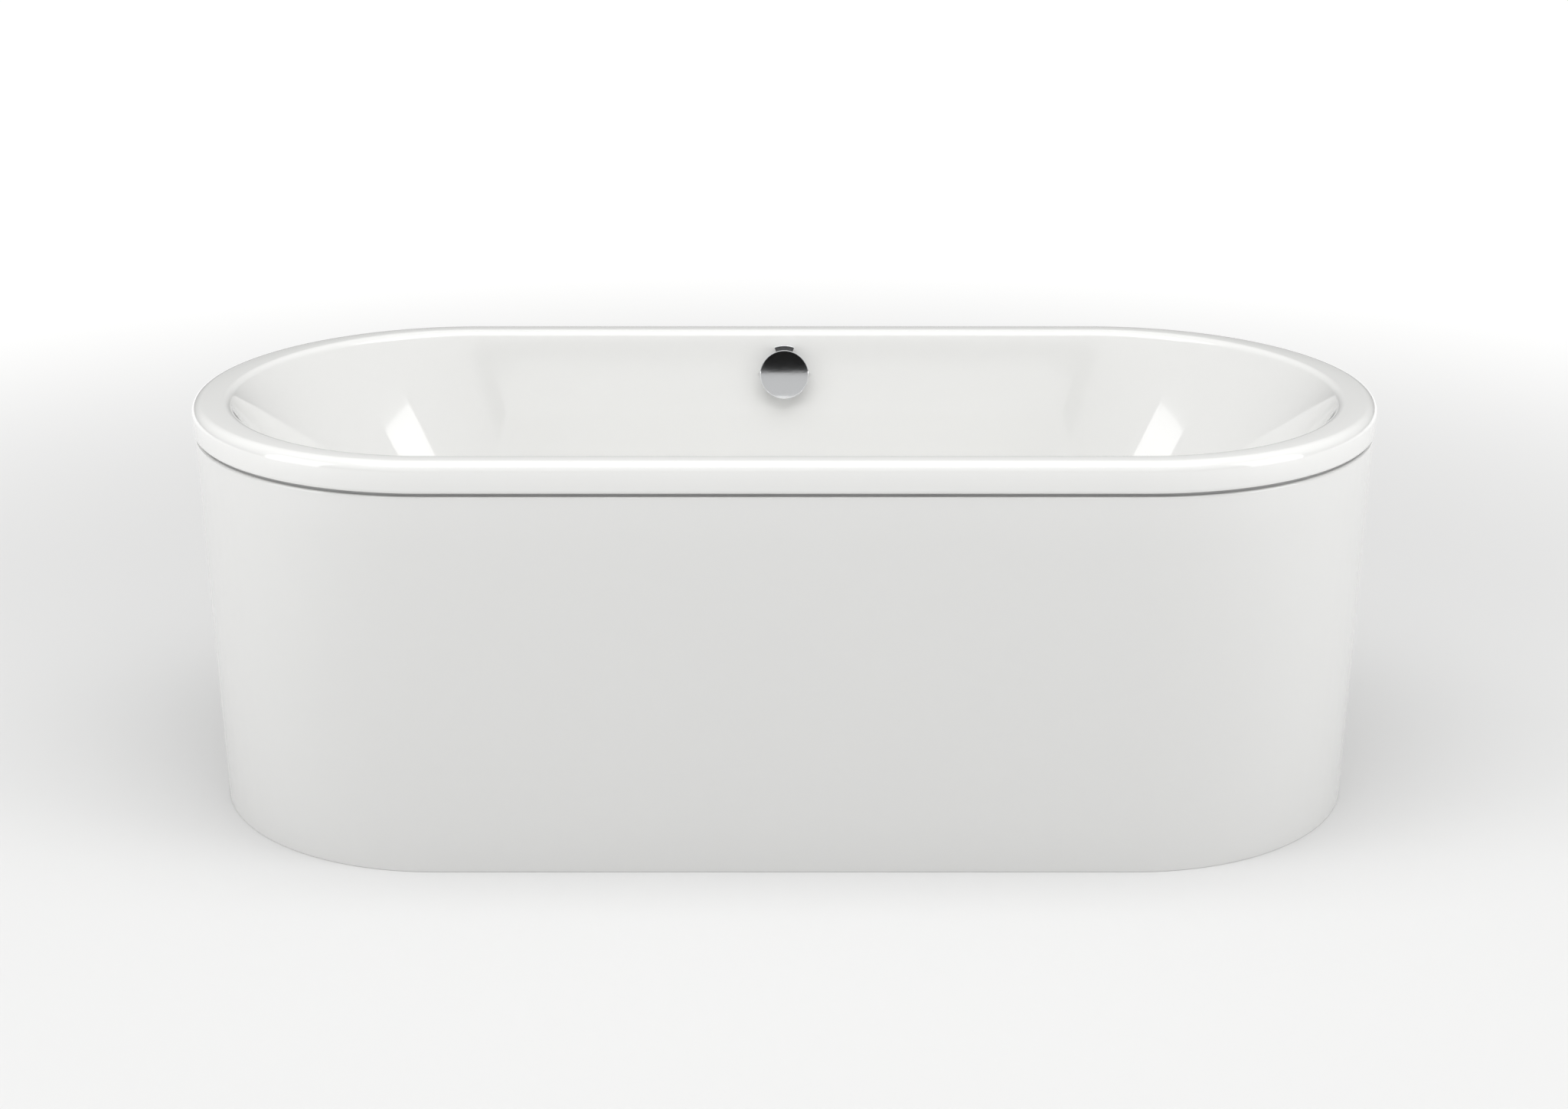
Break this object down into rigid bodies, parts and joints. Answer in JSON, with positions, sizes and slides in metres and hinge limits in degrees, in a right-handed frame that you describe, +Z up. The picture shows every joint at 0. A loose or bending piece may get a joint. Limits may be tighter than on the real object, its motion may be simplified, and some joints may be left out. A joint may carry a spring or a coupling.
{
  "type": "freestanding bathtub",
  "caption": "Oval freestanding bathtub, double-ended, in a smooth tapered panel, with a turning overflow knob that lifts the waste plug.",
  "frame": {"origin": "on the floor under the middle of the bath", "axes": "+X along the bath, +Y towards the side with the overflow, +Z up"},
  "size_m": [1.8, 0.8, 0.63],
  "materials": {
    "white_enamel": "fired white enamel, high gloss",
    "white_acrylic": "moulded white acrylic, gloss",
    "polished_chrome": "mirror polish",
    "zinc_plated_steel": "zinc plated",
    "turned_brass": "turned",
    "black_rubber": "matte",
    "grey_seal": "matte",
    "grey_plastic": "moulded",
    "white_plastic": "moulded",
    "black_plastic": "moulded",
    "bitumen_mat": "matte sheet"
  },
  "bodies": {
    "bath": {"bowden_cable": "black_plastic", "clip_back_left": "zinc_plated_steel", "clip_back_right": "zinc_plated_steel", "clip_front_left": "zinc_plated_steel", "clip_front_middle": "zinc_plated_steel", "clip_front_right": "zinc_plated_steel", "earth_lug": "turned_brass", "foot_rail_left": "zinc_plated_steel", "foot_rail_right": "zinc_plated_steel", "hose_nut_lower": "white_plastic", "hose_nut_upper": "white_plastic", "lever_pin": "zinc_plated_steel", "lock_nut_1": "zinc_plated_steel", "lock_nut_2": "zinc_plated_steel", "lock_nut_3": "zinc_plated_steel", "lock_nut_4": "zinc_plated_steel", "outlet_nut": "grey_plastic", "outlet_pipe": "white_plastic", "outlet_seal": "black_rubber", "overflow_body": "grey_plastic", "overflow_clamp_nut": "white_plastic", "overflow_faceplate": "polished_chrome", "overflow_hose": "grey_plastic", "overflow_inner_seal": "grey_seal", "overflow_outer_seal": "black_rubber", "rail_plate_left_back": "black_rubber", "rail_plate_left_front": "black_rubber", "rail_plate_right_back": "black_rubber", "rail_plate_right_front": "black_rubber", "rim_seal": "grey_seal", "shaft_bearing": "white_plastic", "side_panel": "white_acrylic", "sound_mat_left": "bitumen_mat", "sound_mat_right": "bitumen_mat", "stem_guide": "white_plastic", "trap_body": "white_plastic", "trap_seal": "black_rubber", "trap_union_nut": "grey_plastic", "tub_shell": "white_enamel", "waste_body": "grey_plastic", "waste_flange": "polished_chrome", "waste_lower_seal": "black_rubber", "waste_upper_seal": "grey_seal"},
    "knob": {"overflow_knob": "polished_chrome", "knob_shaft": "turned_brass", "cable_drum": "white_plastic"},
    "plug": {"waste_plug": "polished_chrome", "plug_seal": "black_rubber"},
    "lever": {"lift_lever": "white_plastic"},
    "foot_1": {"foot_pad_1": "black_plastic"},
    "spindle_1": {"foot_spindle_1": "zinc_plated_steel"},
    "foot_2": {"foot_pad_2": "black_plastic"},
    "spindle_2": {"foot_spindle_2": "zinc_plated_steel"},
    "foot_3": {"foot_pad_3": "black_plastic"},
    "spindle_3": {"foot_spindle_3": "zinc_plated_steel"},
    "foot_4": {"foot_pad_4": "black_plastic"},
    "spindle_4": {"foot_spindle_4": "zinc_plated_steel"}
  },
  "joints": [
    {"name": "knob_turn", "type": "hinge", "parent": "bath", "child": "knob", "pos_m": [0, 0.3392, 0.56], "axis": [0, -0.9744, 0.225], "range_deg": [0, 90]},
    {"name": "plug_lift", "type": "slide", "parent": "bath", "child": "plug", "axis": [0, 0, 1], "range_m": [0, 0.0105]},
    {"name": "lever_tilt", "type": "hinge", "parent": "bath", "child": "lever", "pos_m": [0.0225, 0, 0.156], "axis": [0, 1, 0], "range_deg": [0, 26]},
    {"name": "foot_1_height", "type": "slide", "parent": "bath", "child": "foot_1", "axis": [0, 0, -1], "range_m": [-0.008, 0.015]},
    {"name": "spindle_1_turn", "type": "hinge", "parent": "foot_1", "child": "spindle_1", "pos_m": [-0.36, -0.25, 0.1], "axis": [0, 0, 1], "range_deg": [-1921, 3601]},
    {"name": "foot_2_height", "type": "slide", "parent": "bath", "child": "foot_2", "axis": [0, 0, -1], "range_m": [-0.008, 0.015]},
    {"name": "spindle_2_turn", "type": "hinge", "parent": "foot_2", "child": "spindle_2", "pos_m": [-0.36, 0.25, 0.1], "axis": [0, 0, 1], "range_deg": [-1921, 3601]},
    {"name": "foot_3_height", "type": "slide", "parent": "bath", "child": "foot_3", "axis": [0, 0, -1], "range_m": [-0.008, 0.015]},
    {"name": "spindle_3_turn", "type": "hinge", "parent": "foot_3", "child": "spindle_3", "pos_m": [0.36, -0.25, 0.1], "axis": [0, 0, 1], "range_deg": [-1921, 3601]},
    {"name": "foot_4_height", "type": "slide", "parent": "bath", "child": "foot_4", "axis": [0, 0, -1], "range_m": [-0.008, 0.015]},
    {"name": "spindle_4_turn", "type": "hinge", "parent": "foot_4", "child": "spindle_4", "pos_m": [0.36, 0.25, 0.1], "axis": [0, 0, 1], "range_deg": [-1921, 3601]}
  ],
  "couplings": [
    {"joint": "plug_lift", "follows": "knob_turn", "m_per_rad": 0.0063662},
    {"joint": "lever_tilt", "follows": "knob_turn", "ratio": 0.26738},
    {"joint": "spindle_1_turn", "follows": "foot_1_height", "rad_per_m": 4188.8},
    {"joint": "spindle_2_turn", "follows": "foot_2_height", "rad_per_m": 4188.8},
    {"joint": "spindle_3_turn", "follows": "foot_3_height", "rad_per_m": 4188.8},
    {"joint": "spindle_4_turn", "follows": "foot_4_height", "rad_per_m": 4188.8}
  ]
}
